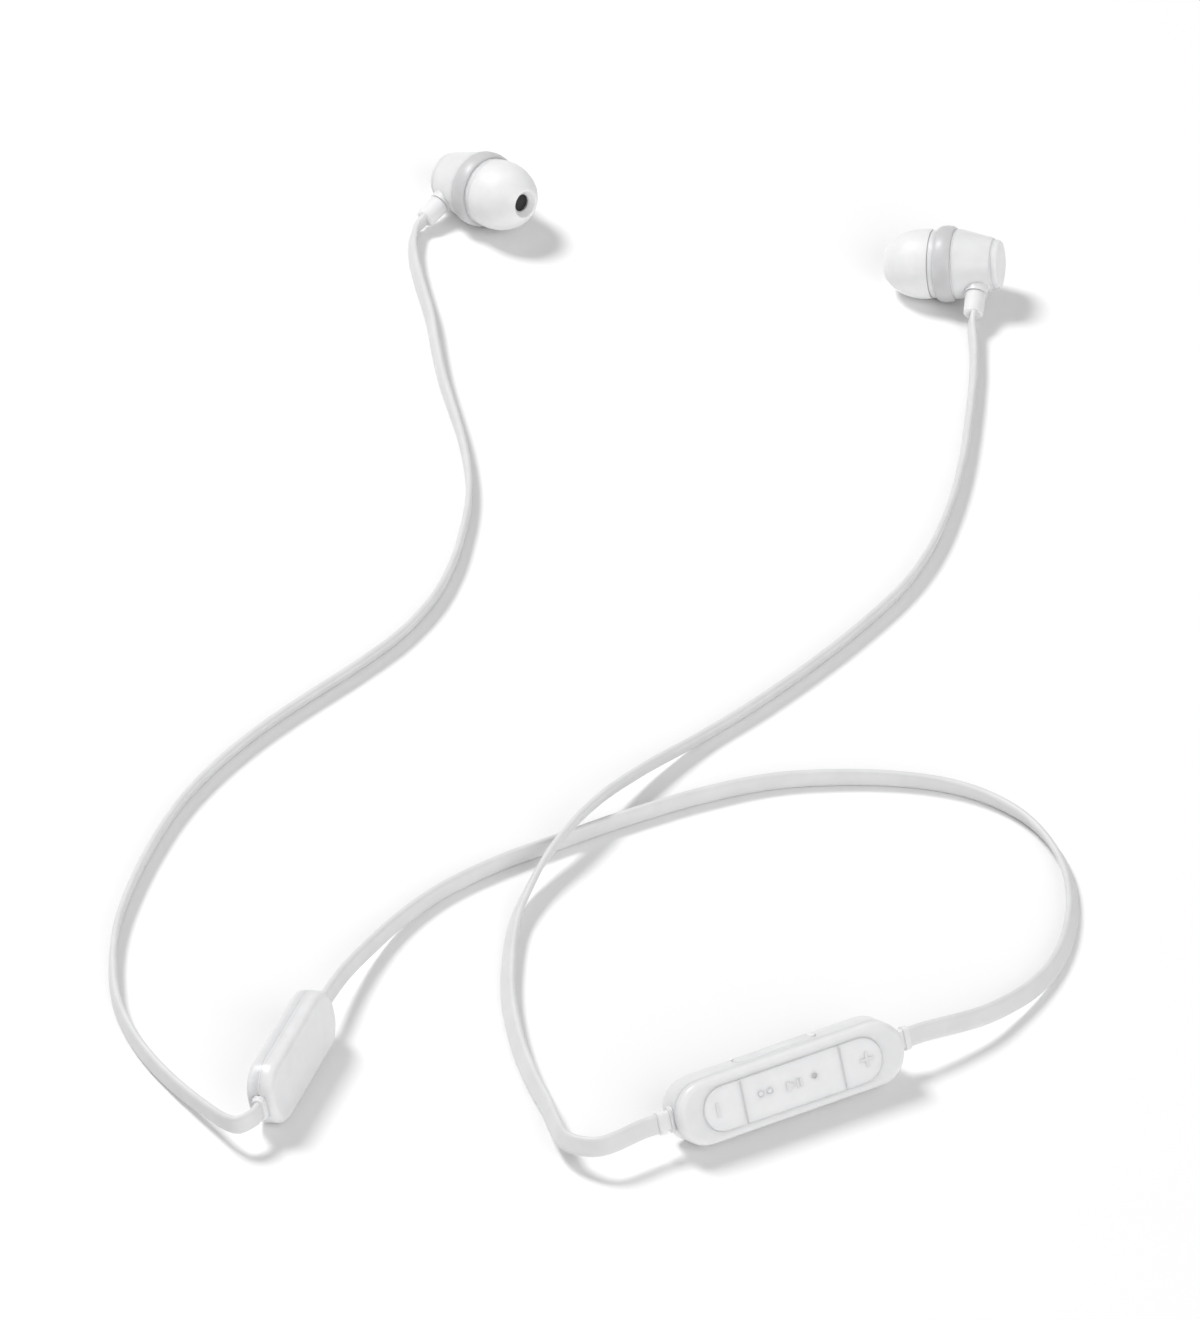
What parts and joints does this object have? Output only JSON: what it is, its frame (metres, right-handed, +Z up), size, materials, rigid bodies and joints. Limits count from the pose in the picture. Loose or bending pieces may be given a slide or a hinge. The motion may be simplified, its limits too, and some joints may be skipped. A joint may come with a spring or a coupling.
{
  "type": "neckband earphones",
  "caption": "In-ear earphones on a flat neck cord with a keyed remote and a battery pod, laid out in loose curves on a surface.",
  "frame": {"origin": "centre of the bounding box of the remote, pod and earbuds, on the surface they lie on", "axes": "+Z up, +Y from the remote towards the earbuds, +X from the pod towards the remote"},
  "size_m": [0.1616, 0.2739, 0.0139],
  "materials": {
    "white_casing": "satin white",
    "soft_key": "matt white",
    "cord_jacket": "matt white",
    "boot_elastomer": "matt white",
    "trim_grey": "satin light grey",
    "tip_silicone": "soft translucent white",
    "mesh_black": "black mesh",
    "board_green": "solder mask",
    "component_black": "moulded",
    "bare_metal": "plated",
    "clear_guide": "translucent",
    "cell_pouch": "foil pouch",
    "driver_film": "film"
  },
  "bodies": {
    "set": {"antenna_chip": "clear_guide", "battery_cell": "cell_pouch", "bluetooth_chip": "component_black", "charging_chip": "component_black", "crystal": "bare_metal", "led_charge": "clear_guide", "led_power": "clear_guide", "left_cord": "cord_jacket", "left_diaphragm": "driver_film", "left_driver_frame": "component_black", "left_driver_magnet": "bare_metal", "left_front_housing": "white_casing", "left_housing": "white_casing", "left_nozzle_mesh": "mesh_black", "left_rear_cap": "white_casing", "left_stem_boot": "boot_elastomer", "left_trim_ring": "trim_grey", "light_guide": "clear_guide", "main_pcb": "board_green", "microphone": "bare_metal", "microphone_screen": "mesh_black", "neck_cord": "cord_jacket", "pod_boot_ear": "boot_elastomer", "pod_boot_neck": "boot_elastomer", "pod_front_cover": "white_casing", "pod_rear_cover": "white_casing", "protection_pcb": "board_green", "remote_boot_ear": "boot_elastomer", "remote_boot_neck": "boot_elastomer", "remote_front_cover": "white_casing", "remote_rear_cover": "white_casing", "right_cord": "cord_jacket", "right_diaphragm": "driver_film", "right_driver_frame": "component_black", "right_driver_magnet": "bare_metal", "right_front_housing": "white_casing", "right_housing": "white_casing", "right_nozzle_mesh": "mesh_black", "right_rear_cap": "white_casing", "right_stem_boot": "boot_elastomer", "right_trim_ring": "trim_grey", "switch_minus": "bare_metal", "switch_play": "bare_metal", "switch_plus": "bare_metal", "usb_socket": "bare_metal", "usb_tongue": "component_black"},
    "minus_key": {"button_minus": "soft_key"},
    "play_key": {"button_play": "soft_key"},
    "plus_key": {"button_plus": "soft_key"},
    "port_cover": {"usb_port_cover": "soft_key"},
    "left_tip": {"left_ear_tip": "tip_silicone"},
    "right_tip": {"right_ear_tip": "tip_silicone"}
  },
  "joints": [
    {"name": "minus_press", "type": "slide", "parent": "set", "child": "minus_key", "axis": [-0.4311, 0.7972, -0.4226], "range_m": [0, 0.00025], "stiffness_N_per_m": 4000},
    {"name": "play_press", "type": "slide", "parent": "set", "child": "play_key", "axis": [-0.4311, 0.7972, -0.4226], "range_m": [0, 0.00025], "stiffness_N_per_m": 4000},
    {"name": "plus_press", "type": "slide", "parent": "set", "child": "plus_key", "axis": [-0.4311, 0.7972, -0.4226], "range_m": [0, 0.00025], "stiffness_N_per_m": 4000},
    {"name": "port_cover_hinge", "type": "hinge", "parent": "set", "child": "port_cover", "pos_m": [0.01512, -0.12235, 0.0107], "axis": [0.4311, -0.7972, 0.4226], "range_deg": [0, 130]},
    {"name": "left_tip_pull", "type": "slide", "parent": "set", "child": "left_tip", "axis": [0.6795, -0.7036, 0.2079], "range_m": [0, 0.01]},
    {"name": "right_tip_pull", "type": "slide", "parent": "set", "child": "right_tip", "axis": [-0.9732, 0.1892, -0.1305], "range_m": [0, 0.01]}
  ]
}
